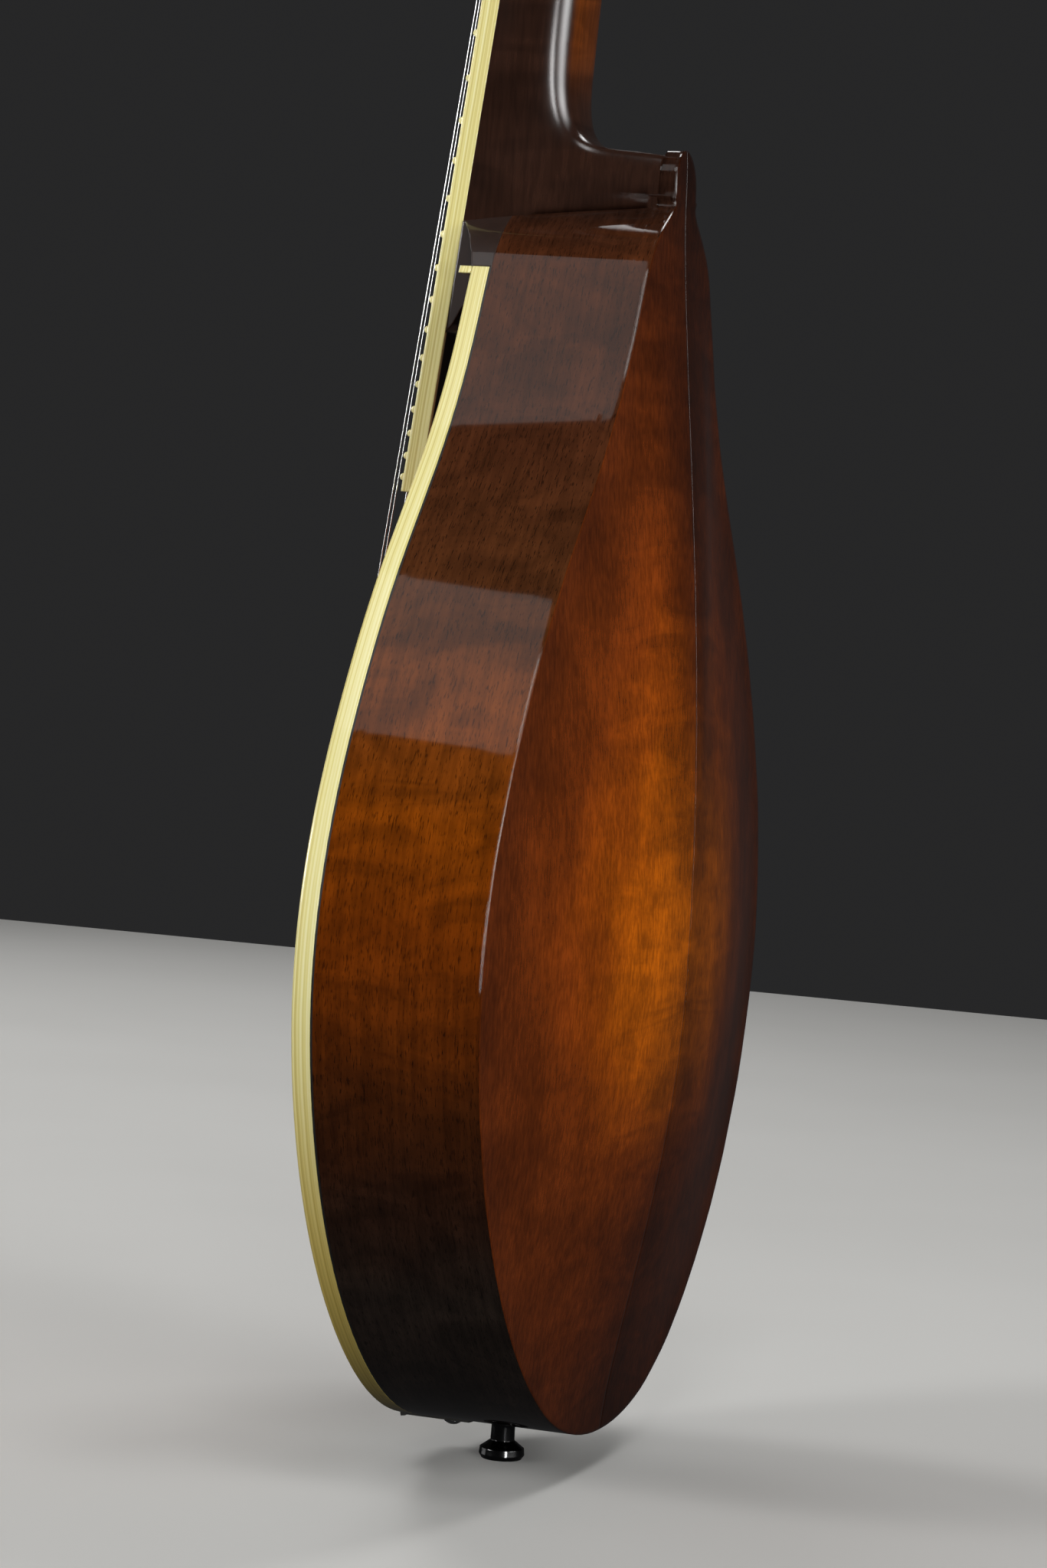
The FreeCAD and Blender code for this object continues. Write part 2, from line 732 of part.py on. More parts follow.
def course(name):
    """Both strings of a course, each a run of round bars with ball joints."""
    radius = STRING_RADIUS[name]
    solids = []
    for index, place in enumerate(string_places()):
        if place[0] != name:
            continue
        path = string_path(index)
        parts = [rod(radius, a, b) for a, b in zip(path, path[1:])]
        parts += [Part.makeSphere(radius, corner) for corner in path[1:-1]]
        solids.append(fused(parts))
    return Part.makeCompound(solids)


# Tuning machines, drawn in the headstock's frame
PLATE_BACK_Y = HEAD_THICKNESS + PLATE_GAUGE
WORM_DROP = GEAR_RADIUS + WORM_RADIUS + WORM_CLEARANCE
WORM_Y = PLATE_BACK_Y + WORM_RADIUS + WORM_CLEARANCE
GEAR_Y = WORM_Y - GEAR_THICKNESS / 2


def tuner_plate(side):
    """One side's plate with its bearing lugs; side is -1 for bass and 1 for treble."""
    zs = post_heights()
    x0, x1 = sorted((side * (POST_X - 7.5), side * (POST_X + 9.5)))
    plate = box(x0, x1, HEAD_THICKNESS, PLATE_BACK_Y, zs[0] - 14, zs[-1] + 12)
    for z in zs:
        worm_z = z - WORM_DROP
        for offset in (-5.6, 5.6):
            x = side * POST_X + offset
            lug = box(x - 1.2, x + 1.2, HEAD_THICKNESS, WORM_Y, worm_z - 2.6, worm_z + 2.6)
            lug = lug.fuse(rod(2.6, (x - 1.2, WORM_Y, worm_z), (x + 1.2, WORM_Y, worm_z)))
            plate = plate.fuse(lug)
    for z in zs:
        worm_z = z - WORM_DROP
        key_bore = KEY_SHAFT_RADIUS + RUNNING_CLEARANCE
        plate = plate.cut(rod(key_bore, (-60, WORM_Y, worm_z), (60, WORM_Y, worm_z)))
        axis = side * POST_X
        plate = plate.cut(rod(POST_RADIUS + RUNNING_CLEARANCE, (axis, 0, z), (axis, 60, z)))
    for screw in plate_screw_places(side):
        plate = plate.cut(screw_shape(*screw, length=9, head=2.4))
    return placed(plate.removeSplitter(), HEAD_FRAME)


def plate_screw_places(side):
    """(x, z) of one tuner plate's fixing screws."""
    zs = post_heights()
    heights = [zs[0] - 12] + [z + 11.8 - WORM_DROP / 4 for z in zs[:-1]] + [zs[-1] + 10]
    return [(side * (POST_X + 7.4), z) for z in heights]


def screw_shape(x, z, length, head):
    """A domed screw driven forwards into the headstock's back."""
    dome = Part.makeSphere(head * 1.25, Vector(x, PLATE_BACK_Y - head * 0.75, z))
    dome = dome.common(box(x - 9, x + 9, PLATE_BACK_Y - 0.01, PLATE_BACK_Y + 9, z - 9, z + 9))
    shank = rod(1.1, (x, PLATE_BACK_Y - length, z), (x, PLATE_BACK_Y, z))
    return dome.fuse(shank)


def tuner_screws():
    screws = []
    for side in (-1, 1):
        for x, z in plate_screw_places(side):
            slot = box(x - 3, x + 3, PLATE_BACK_Y + 0.7, PLATE_BACK_Y + 9, z - 0.3, z + 0.3)
            screws.append(screw_shape(x, z, 8, 2.4).cut(slot))
    return screws


def bushings():
    """Collars round the posts at the headstock's face."""
    collars = []
    for side in (-1, 1):
        for z in post_heights():
            x = side * POST_X
            face = -OVERLAY_THICKNESS
            flange = Part.makeCone(5.0, 4.2, 1.0, Vector(x, face, z), Vector(0, -1, 0))
            sleeve = rod(POST_RADIUS + 1.0, (x, face, z), (x, face + 6, z))
            hole = rod(POST_RADIUS + RUNNING_CLEARANCE, (x, face - 3, z), (x, face + 8, z))
            collars.append(flange.fuse(sleeve).cut(hole))
    return collars


def gear(x, z):
    """The wheel on a post's lower end, with one tooth in each gap of the worm's thread."""
    root = GEAR_RADIUS - 1.2
    tooth = ((root, -0.32), (GEAR_RADIUS, -0.14), (GEAR_RADIUS, 0.14), (root, 0.32))
    centre = Vector(x, GEAR_Y, z)
    points = []
    for i in range(TEETH):
        for radius, turn in tooth:
            angle = 2 * math.pi * (i + turn) / TEETH
            points.append(centre + Vector(math.cos(angle), 0, math.sin(angle)) * radius)
    return Part.Face(Part.makePolygon(points + points[:1])).extrude(Vector(0, GEAR_THICKNESS, 0))


def tuner_post(index):
    """A string post with its gear, the screw that holds it and the turns of string."""
    side, z = string_posts()[index]
    radius = STRING_RADIUS[string_places()[index][0]]
    x = side * POST_X
    tip = -OVERLAY_THICKNESS - POST_RISE
    gear_top = GEAR_Y + GEAR_THICKNESS
    post = rod(POST_RADIUS, (x, tip, z), (x, gear_top, z))
    cap = Part.makeCone(POST_RADIUS, POST_RADIUS - 0.6, 0.6, Vector(x, tip, z), Vector(0, -1, 0))
    head = Part.makeCone(2.8, 2.0, 1.2, Vector(x, gear_top, z), Vector(0, 1, 0))
    slot = box(x - 4, x + 4, gear_top + 0.7, gear_top + 3, z - 0.35, z + 0.35)
    eye = rod(0.8, (x, tip + 3.2, z - 9), (x, tip + 3.2, z + 9))
    body = fused([post, cap, gear(x, z), head]).cut(slot).cut(eye)
    for turn in range(WINDING_TURNS):
        y = winding_y(z) - (turn - (WINDING_TURNS - 1) / 2) * 1.95 * radius
        ring = Part.makeTorus(POST_RADIUS + radius * 0.8, radius, Vector(x, y, z), Vector(0, 1, 0))
        body = body.fuse(ring)
    return placed(body, HEAD_FRAME)


def tuner_key(index):
    """A button on its shaft, with the worm between the plate's lugs."""
    across, z = string_posts()[index]
    axis = Vector(0, WORM_Y, z - WORM_DROP)

    def bar(radius, x0, x1):
        return rod(radius, axis + Vector(x0, 0, 0), axis + Vector(x1, 0, 0))

    def thread_flank(r0, r1, x):
        return Part.makeCone(r0, r1, 0.5, axis + Vector(x, 0, 0), Vector(1, 0, 0))

    root = WORM_RADIUS - 0.7
    parts = [
        bar(KEY_SHAFT_RADIUS, 7.4 - POST_X, -44),
        bar(root, -POST_X - 4.2, 4.2 - POST_X),
        bar(2.5, 3 - BUTTON_START_X, -BUTTON_START_X),
        button(-1, axis.z),
    ]
    for i in range(WORM_THREADS):
        x = (i - (WORM_THREADS - 1) / 2) * 1.7 - POST_X
        parts.append(thread_flank(root, WORM_RADIUS, x - 0.6))
        parts.append(thread_flank(WORM_RADIUS, root, x - 0.1))
    key = fused(parts)
    return placed(key if across < 0 else mirrored(key), HEAD_FRAME)


def button(side, z):
    """The flattened grip that fingers turn."""
    grip = Part.makeSphere(1.0)
    shape = FreeCAD.Matrix()
    shape.scale(Vector(8.0, 3.6, 7.0))
    grip = grip.transformGeometry(shape)
    grip.translate(Vector(side * (BUTTON_START_X + 7.2), WORM_Y, z))
    start = Vector(side * BUTTON_START_X, WORM_Y, z)
    return grip.fuse(Part.makeCone(2.5, 3.3, 3.5, start, Vector(side, 0, 0)))


# Headstock trim
def headstock_overlay():
    veneer = head_prism(-OVERLAY_THICKNESS, 0, 0)
    pocket = box(-5, 5, -5, 5, 1.2, 24)
    veneer = veneer.cut(pocket).cut(Part.makeCompound(cover_screws()))
    return placed(veneer.cut(post_holes(POST_RADIUS + 1.0, -20, 30)), HEAD_FRAME)


def truss_rod_cover():
    y1 = -OVERLAY_THICKNESS
    points = [Vector(0, y1, 33), Vector(4, y1, 26), Vector(6.8, y1, 12), Vector(8.6, y1, 1.0)]
    edge = spline(points).toShape()
    base = Part.makeLine(Vector(-8.6, y1, 1.0), Vector(8.6, y1, 1.0))
    face = Part.Face(Part.Wire(Part.__sortEdges__([edge, base, mirrored(edge)])))
    cover = face.extrude(Vector(0, -1.6, 0))
    for screw in cover_screws():
        cover = cover.cut(screw)
    return placed(cover, HEAD_FRAME)


def cover_screws():
    screws = []
    face = -OVERLAY_THICKNESS
    for x, z in ((0, 28.5), (-6.2, 3.6), (6.2, 3.6)):
        shank = rod(0.7, (x, face + 1.2, z), (x, face, z))
        head = Part.makeCone(0.7, 1.3, 1.61, Vector(x, face, z), Vector(0, -1, 0))
        screws.append(head.fuse(shank))
    return screws


def truss_rod_nut():
    """The hexagon nut on the rod's end, in the headstock pocket."""
    start = 6.05
    radius = 3.6
    corners = []
    for i in range(6):
        angle = math.radians(60 * i)
        corners.append(Vector(radius * math.cos(angle), 10.2 + radius * math.sin(angle), start))
    hexagon = Part.Face(Part.makePolygon(corners + corners[:1])).extrude(Vector(0, 0, 7))
    return placed(hexagon, BOARD_FRAME)


# Bridge, drawn in the board's frame, where the strings' height is known
BRIDGE_Z = bridge_point(0).z
SADDLE_TOP_Y = bridge_point(0).y
WHEEL_Y = SADDLE_TOP_Y + SADDLE_HEIGHT
BASE_TOP_Y = WHEEL_Y + THUMBWHEEL_THICKNESS + WHEEL_GAP


def across_bridge(half_length, y0, y1, half_depth):
    """A block across the strings, centred on the bridge."""
    return box(-half_length, half_length, y0, y1, BRIDGE_Z - half_depth, BRIDGE_Z + half_depth)


def bridge_base():
    """The foot, hollowed under its middle and tapered to its tips."""
    blank = across_bridge(BRIDGE_HALF_LENGTH, BASE_TOP_Y, TOP_EDGE_Y, 6.0)
    centre_y = BASE_TOP_Y + FOOT_ARCH_RISE + FOOT_ARCH_RADIUS
    hollow = rod(FOOT_ARCH_RADIUS, (0, centre_y, BRIDGE_Z - 9), (0, centre_y, BRIDGE_Z + 9))
    hollow = hollow.common(across_bridge(20, -60, 60, 9))
    foot = blank.cut(space_behind_arch()).cut(hollow)
    for side in (-1, 1):
        tip = Vector(side * 44, BASE_TOP_Y, BRIDGE_Z)
        taper = Placement(tip, Rotation(Vector(0, 0, 1), side * 20))
        foot = foot.cut(placed(box(-30, 30, -30, 0, -9, 9), taper))
        foot = foot.cut(bridge_stud(side))
    return foot


def space_behind_arch():
    """Everything on the body's side of the top's outer surface, near the bridge."""
    zone = box(-70, 70, -60, 0, 100, 220)
    return zone.cut(arch_block(TOP_EDGE_Y, -1, 80))


def bridge_stud(side):
    x = side * BRIDGE_POST_X
    return rod(BRIDGE_POST_RADIUS, (x, WHEEL_Y - 5.2, BRIDGE_Z), (x, BASE_TOP_Y + 3, BRIDGE_Z))


def thumbwheel(side):
    """A knurled nut that carries one end of the saddle."""
    centre = Vector(side * BRIDGE_POST_X, WHEEL_Y + 0.1, BRIDGE_Z)
    ridges = 28
    points = []
    for i in range(2 * ridges):
        radius = THUMBWHEEL_RADIUS - 0.25 * (i % 2)
        angle = math.pi * i / ridges
        points.append(centre + Vector(math.cos(angle), 0, math.sin(angle)) * radius)
    disc = Part.Face(Part.makePolygon(points + points[:1]))
    disc = disc.extrude(Vector(0, THUMBWHEEL_THICKNESS - 0.2, 0))
    return disc.cut(stud_bore(side, RUNNING_CLEARANCE))


def stud_bore(side, clearance):
    x = side * BRIDGE_POST_X
    radius = BRIDGE_POST_RADIUS + clearance
    return rod(radius, (x, WHEEL_Y - 20, BRIDGE_Z), (x, WHEEL_Y + 9, BRIDGE_Z))


def bridge_saddle():
    """The top half of the bridge, which slides on the studs and carries the strings."""
    crest_y = SADDLE_TOP_Y - SADDLE_OVER_STRINGS
    saddle = across_bridge(45, crest_y, WHEEL_Y, SADDLE_HALF_DEPTH)
    for side in (-1, 1):
        saddle = saddle.cut(saddle_wing(side, crest_y)).cut(saddle_bevel(side))
        saddle = saddle.cut(stud_bore(side, 0.1))
    for index in range(8):
        saddle = saddle.cut(string_slot(index))
    return saddle


def saddle_wing(side, crest_y):
    """What is cut away above the saddle's falling end."""
    fall = Placement(Vector(side * 24, crest_y, BRIDGE_Z), Rotation(Vector(0, 0, 1), side * 12))
    x0, x1 = sorted((0, side * 40))
    return placed(box(x0, x1, -20, 0, -9, 9), fall)


def saddle_bevel(side):
    """What is cut away beside the saddle's crest, towards the neck or the tail."""
    edge = Vector(0, SADDLE_TOP_Y + 1.2, BRIDGE_Z + side * SADDLE_HALF_DEPTH)
    z0, z1 = sorted((0, side * 9))
    slope = Placement(edge, Rotation(Vector(1, 0, 0), side * 48))
    return placed(box(-60, 60, -9, 0, z0, z1), slope)


def string_slot(index):
    """The groove that one string lies in, open to the front."""
    name, _, x = string_places()[index]
    radius = STRING_RADIUS[name] + RUNNING_CLEARANCE
    hook, crest, at_nut = string_path(index)[:3]
    groove = box(x - radius, x + radius, SADDLE_TOP_Y - 6, SADDLE_TOP_Y - 0.1,
                 BRIDGE_Z - 9, BRIDGE_Z + 9)  # fmt: skip
    for end in (hook, at_nut):
        groove = groove.fuse(rod(radius, crest, crest + (end - crest).normalize() * 9))
    return groove


# Tailpiece, drawn in its own frame except for the leg on the ribs
def tailpiece_base():
    """A bent plate: one leg on the tail ribs, the other over the top with eight hooks."""
    half = TAIL_HALF_WIDTH
    leg = outline_prism(-TAIL_GAUGE, TAIL_CORNER_Y, -6.2).cut(outline_prism(0, -40, 0))
    leg = leg.common(box(-half, half, -40, 0, -10, 12))
    over = box(-half, half, 0, TAIL_GAUGE, -TAIL_GAUGE, COVER_START)
    over = over.fuse(box(-half - 2, half + 2, 0, TAIL_GAUGE, COVER_START, HOOK_Z + 3))
    for index in range(8):
        over = over.fuse(tailpiece_hook(hook_x(index)))
    plate = leg.fuse(placed(over, TAIL_FRAME))
    for screw in tailpiece_screws():
        plate = plate.cut(screw)
    return plate.removeSplitter()


def tailpiece_hook(x):
    """A stem up from the plate and a lip towards the tail, which holds a string's loop."""
    top = -HOOK_HEIGHT - 1.2
    stem = box(x - 1.2, x + 1.2, top, TAIL_GAUGE / 2, HOOK_Z - 3, HOOK_Z - 2)
    lip = box(x - 1.2, x + 1.2, top, top + 0.6, HOOK_Z - 4.6, HOOK_Z - 2)
    return stem.fuse(lip)


def tailpiece_screws():
    """Two domed screws through the leg into the tail block."""
    y = -12.0
    screws = []
    for x in (-8.5, 8.5):
        shank = rod(1.4, (x, y, -1.9), (x, y, 12))
        dome = Part.makeSphere(3.6, Vector(x, y, 1.35))
        dome = dome.common(box(x - 5, x + 5, y - 6, y + 6, -5, -0.85))
        screws.append(dome.fuse(shank))
    return screws


def cover_section(grow, start, end):
    """The cover's inner section, grown outwards, as a solid between two heights."""
    half = TAIL_HALF_WIDTH + 2.3 + grow
    low = TAIL_GAUGE + 0.2 + grow
    shoulder = -HOOK_HEIGHT - 1.9
    corners = [Vector(-half, shoulder, start), Vector(-half, low, start), Vector(half, low, start),
               Vector(half, shoulder, start)]  # fmt: skip
    crest = Part.Arc(corners[-1], Vector(0, shoulder - 1.8 - grow, start), corners[0]).toShape()
    sides = Part.makePolygon(corners)
    return Part.Face(Part.Wire(sides.Edges + [crest])).extrude(Vector(0, 0, end - start))


def tailpiece_cover():
    """A domed sheet, closed at its tail end, whose lips slide under the base's edges."""
    start = COVER_START
    end = COVER_START + COVER_LENGTH
    lip_gap = TAIL_HALF_WIDTH + 0.6
    sheet = cover_section(COVER_GAUGE, start, end).cut(cover_section(0, start - 1, end + 1))
    sheet = sheet.cut(box(-lip_gap, lip_gap, 0, 9, start - 1, end + 1))
    closed = cover_section(0, start, start + COVER_GAUGE).common(box(-60, 60, -60, -0.3, 0, 99))
    return placed(sheet.fuse(closed).removeSplitter(), TAIL_FRAME)


# Strap button
def strap_screw_hole():
    return rod(1.6, (0, 0, -20), (0, 0, 26))


def strap_button():
    """A turned button: a foot on the ribs, a waist for the strap and a flange."""
    profile = [
        (1.65, 0), (4.4, 0), (3.3, -2.4), (3.4, -6.5), (6.2, -8.6), (6.4, -10.4),
        (5.6, -STRAP_BUTTON_LENGTH), (3.4, -STRAP_BUTTON_LENGTH), (1.65, -9.4),
    ]  # fmt: skip
    points = [Vector(r, 0, z) for r, z in profile]
    face = Part.Face(Part.makePolygon(points + points[:1]))
    turned = face.revolve(Vector(0, 0, 0), Vector(0, 0, 1), 360)
    return turned.cut(outline_prism(0, -40, 40))


def strap_button_screw():
    """A countersunk screw, its cross-slotted head just inside the button's end."""
    end = 0.2 - STRAP_BUTTON_LENGTH
    shank = rod(1.6, (0, 0, end), (0, 0, 24))
    head = Part.makeCone(3.1, 1.6, 1.9, Vector(0, 0, end))
    screw = shank.fuse(head)
    for across, along in ((1.9, 0.35), (0.35, 1.9)):
        screw = screw.cut(box(-across, across, -along, along, end - 1, end + 1.1))
    return screw


def save(name, shape):
    shape.exportStep(f"parts/{name}.step")


def save_group(name, shapes, frame=None):
    placed_shapes = [placed(shape, frame) if frame else shape for shape in shapes]
    save(name, Part.makeCompound(placed_shapes))


def save_halves(name, pair):
    save(f"{name}_bass", pair[0])
    save(f"{name}_treble", pair[1])


def save_body():
    save_halves("top_plate", top_plate())
    save_halves("back_plate", back_plate())
    save_halves("rib", ribs())
    save_halves("top_binding", top_binding())
    save("top_binding_line", top_line())
    save("head_block", head_block())
    save("tail_block", tail_block())
    save("linings", linings())
    save_halves("tone_bar", (tone_bar(-1), tone_bar(1)))


def save_neck():
    save("neck", neck())
    save("neck_extension", neck_extension())
    save("truss_rod", truss_rod())
    save("truss_rod_nut", truss_rod_nut())
    save("truss_rod_cover", truss_rod_cover())
    save("headstock_overlay", headstock_overlay())
    save("fretboard", fretboard())
    save("fretboard_binding", fretboard_binding())
    save_group("frets", fret_wires(), BOARD_FRAME)
    save_group("fret_markers", fret_markers(), BOARD_FRAME)
    save_group("side_dots", side_dots(), BOARD_FRAME)
    save("nut", nut())


def save_tuners():
    save_halves("tuner_plate", (tuner_plate(-1), tuner_plate(1)))
    save_group("headstock_screws", tuner_screws() + cover_screws(), HEAD_FRAME)
    save_group("bushings", bushings(), HEAD_FRAME)
    for index in range(8):
        save(f"tuner_post_{index + 1}", tuner_post(index))
        save(f"tuner_key_{index + 1}", tuner_key(index))


def save_string_supports():
    for name in COURSE_NAMES:
        save(f"strings_{name}", course(name))
    save_halves("thumbwheel", (thumbwheel(-1), thumbwheel(1)))
    save_group("bridge_studs", [bridge_stud(-1), bridge_stud(1)])
    save("bridge_base", bridge_base())
    save("bridge_saddle", bridge_saddle())
    save("tailpiece_base", tailpiece_base())
    save("tailpiece_cover", tailpiece_cover())
    save_group("tailpiece_screws", tailpiece_screws())
    save("strap_button", strap_button())
    save("strap_button_screw", strap_button_screw())


os.makedirs("parts", exist_ok=True)
save_body()
save_neck()
save_tuners()
save_string_supports()
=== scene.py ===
"""Looks for an A-style mandolin: lacquered wood, binding, strings and metal, with studio light and a camera."""

import json
import math

import bpy
from mathutils import Matrix, Vector


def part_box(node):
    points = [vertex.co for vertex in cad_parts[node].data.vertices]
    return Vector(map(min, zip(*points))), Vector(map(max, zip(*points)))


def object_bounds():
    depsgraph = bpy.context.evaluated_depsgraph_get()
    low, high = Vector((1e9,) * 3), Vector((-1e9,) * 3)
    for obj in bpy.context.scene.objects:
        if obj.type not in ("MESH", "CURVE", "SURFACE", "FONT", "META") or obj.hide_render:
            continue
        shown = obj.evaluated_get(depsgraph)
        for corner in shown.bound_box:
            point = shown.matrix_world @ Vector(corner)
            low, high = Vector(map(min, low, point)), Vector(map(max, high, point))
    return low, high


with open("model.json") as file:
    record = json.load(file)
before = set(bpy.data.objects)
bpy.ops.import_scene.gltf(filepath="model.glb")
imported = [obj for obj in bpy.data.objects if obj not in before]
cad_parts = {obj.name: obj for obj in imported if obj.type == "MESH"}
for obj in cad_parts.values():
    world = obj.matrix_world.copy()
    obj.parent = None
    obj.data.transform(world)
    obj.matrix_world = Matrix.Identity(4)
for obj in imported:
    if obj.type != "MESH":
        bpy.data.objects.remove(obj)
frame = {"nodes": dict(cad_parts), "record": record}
cad_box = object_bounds()
record = frame["record"]
nodes = frame["nodes"]

# Places on the instrument, in metres: the body's top and the back's rim read from the frame, the others given
BODY_TOP_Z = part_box("rib_treble")[1].z
BACK_RIM_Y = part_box("rib_treble")[1].y
BELLY_Z = 0.39 * BODY_TOP_Z
FINGERBOARD_TILT = math.radians(5.34)
HEAD_TILT = FINGERBOARD_TILT + math.radians(14)
BUTTON_X = 0.0372
BOARD_BINDING_DEPTH = 0.0237
SEAM_LINE = (0.0001, 0.0004)
GEAR_BEHIND_FACE = 0.0091
STRING_WRAP_PITCH = 0.00027

# Light and colour
NICKEL_SHADE = (0.62, 0.60, 0.55)
LAMP_RIM = 0.15


# Node graphs
class Graph:
    """One material's node tree, with a short method for each kind of node that the materials use."""

    def __init__(self, name, roughness, metallic=0.0, coat=0.0, coat_roughness=0.03, specular=0.5):
        self.material = bpy.data.materials.new(name)
        self.material.use_nodes = True
        self.tree = self.material.node_tree
        self.shader = self.tree.nodes["Principled BSDF"]
        self.set("Roughness", roughness)
        self.set("Metallic", metallic)
        self.set("Coat Weight", coat)
        self.set("Coat Roughness", coat_roughness)
        self.set("Specular IOR Level", specular)
        self.place = self.add("ShaderNodeTexCoord").outputs["Object"]

    def set(self, socket, value):
        """A uniform value on the shader, or a link into it."""
        self.feed(self.shader.inputs[socket], value)

    def feed(self, socket, value):
        if isinstance(value, bpy.types.NodeSocket):
            self.tree.links.new(value, socket)
        elif isinstance(value, tuple) and len(value) == 3 and socket.type == "RGBA":
            socket.default_value = (*value, 1)
        else:
            socket.default_value = value

    def add(self, kind, **settings):
        node = self.tree.nodes.new(kind)
        for name, value in settings.items():
            setattr(node, name, value)
        return node

    def math(self, operation, a, b=0.0):
        node = self.add("ShaderNodeMath", operation=operation)
        self.feed(node.inputs[0], a)
        self.feed(node.inputs[1], b)
        return node.outputs[0]

    def axes(self):
        """The three coordinates of the place on the instrument."""
        node = self.add("ShaderNodeSeparateXYZ")
        self.feed(node.inputs[0], self.place)
        return node.outputs[0], node.outputs[1], node.outputs[2]

    def along(self, direction):
        """How far the place lies along a direction."""
        node = self.add("ShaderNodeVectorMath", operation="DOT_PRODUCT")
        self.feed(node.inputs[0], self.place)
        node.inputs[1].default_value = direction
        return node.outputs["Value"]

    def stretched(self, x, y, z):
        """The place with each axis scaled, to stretch a texture."""
        node = self.add("ShaderNodeVectorMath", operation="MULTIPLY")
        self.feed(node.inputs[0], self.place)
        node.inputs[1].default_value = (x, y, z)
        return node.outputs[0]

    def noise(self, vector, scale=1.0, detail=4.0, roughness=0.55, distortion=0.0):
        node = self.add("ShaderNodeTexNoise")
        self.feed(node.inputs["Vector"], vector)
        self.feed(node.inputs["Scale"], scale)
        self.feed(node.inputs["Detail"], detail)
        self.feed(node.inputs["Roughness"], roughness)
        self.feed(node.inputs["Distortion"], distortion)
        return node.outputs[0]

    def fade(self, value, low, high, start=0.0, end=1.0):
        """A smooth step: start below low, end above high."""
        node = self.add("ShaderNodeMapRange", interpolation_type="SMOOTHSTEP")
        self.feed(node.inputs["Value"], value)
        for name, number in (("From Min", low), ("From Max", high), ("To Min", start), ("To Max", end)):
            node.inputs[name].default_value = number
        return node.outputs[0]

    def ramp(self, value, stops):
        """A colour for each value; stops are (value from 0 to 1, colour)."""
        node = self.add("ShaderNodeValToRGB")
        self.feed(node.inputs[0], value)
        elements = node.color_ramp.elements
        while len(elements) < len(stops):
            elements.new(0.5)
        for element, (position, colour) in zip(elements, stops):
            element.position = position
            element.color = (*colour, 1)
        return node.outputs[0]

    def mix(self, amount, a, b):
        node = self.add("ShaderNodeMix", data_type="RGBA")
        self.feed(node.inputs[0], amount)
        self.feed(node.inputs[6], a)
        self.feed(node.inputs[7], b)
        return node.outputs[2]

    def tint(self, colour, strength):
        """A colour made lighter or darker by a strength about 1."""
        node = self.add("ShaderNodeVectorMath", operation="SCALE")
        self.feed(node.inputs[0], colour)
        self.feed(node.inputs["Scale"], strength)
        return node.outputs[0]

    def relief(self, height, distance, rounding=0.0, where=None):
        """Surface bump of that depth in metres, on edges rounded by a radius where the amount is 1."""
        bump = self.add("ShaderNodeBump")
        self.feed(bump.inputs["Height"], height)
        bump.inputs["Distance"].default_value = distance
        if rounding:
            edge = self.rounded(rounding, where)
            self.feed(bump.inputs["Normal"], edge)
            self.set("Coat Normal", edge)
        self.set("Normal", bump.outputs[0])

    def rounded(self, radius, where):
        """The surface normal turned smoothly over edges, everywhere or where an amount is 1."""
        bevel = self.add("ShaderNodeBevel", samples=8)
        bevel.inputs["Radius"].default_value = radius
        if where is None:
            return bevel.outputs[0]
        node = self.add("ShaderNodeMix", data_type="VECTOR")
        self.feed(node.inputs[0], where)
        self.feed(node.inputs[4], self.add("ShaderNodeNewGeometry").outputs["Normal"])
        self.feed(node.inputs[5], bevel.outputs[0])
        return node.outputs[1]


# Wood
def burst(graph, reach_up, reach_down, reach_side):
    """0 in the middle of a plate, about 1 at its edge, with a cloudy sprayed border."""
    x, _, z = graph.axes()
    height = graph.math("SUBTRACT", z, BELLY_Z)
    up = graph.math("DIVIDE", height, reach_up)
    down = graph.math("DIVIDE", height, -reach_down)
    lengthwise = graph.math("MAXIMUM", up, down)
    across = graph.math("DIVIDE", x, reach_side)
    squares = graph.math("ADD", graph.math("POWER", lengthwise, 2.0), graph.math("MULTIPLY", across, across))
    cloud = graph.math("MULTIPLY", graph.noise(graph.place, 28.0, 2.0), 0.22)
    return graph.math("ADD", graph.math("SQRT", squares), graph.math("SUBTRACT", cloud, 0.11))


def mirrored_place(graph, x_scale, y_scale, z_scale, lean=0.0):
    """Book-matched coordinates: the same figure on both sides of the centre seam, leaning away from it."""
    x, y, z = graph.axes()
    side = graph.math("ABSOLUTE", x)
    level = graph.math("ADD", z, graph.math("MULTIPLY", side, lean))
    joined = graph.add("ShaderNodeCombineXYZ")
    graph.feed(joined.inputs[0], graph.math("MULTIPLY", side, x_scale))
    graph.feed(joined.inputs[1], graph.math("MULTIPLY", y, y_scale))
    graph.feed(joined.inputs[2], graph.math("MULTIPLY", level, z_scale))
    return joined.outputs[0]


def seam_line(graph, colour, strength):
    """The colour with a fine darker line along the centre seam."""
    from_seam = graph.math("ABSOLUTE", graph.axes()[0])
    return graph.tint(colour, graph.fade(from_seam, *SEAM_LINE, strength, 1.0))


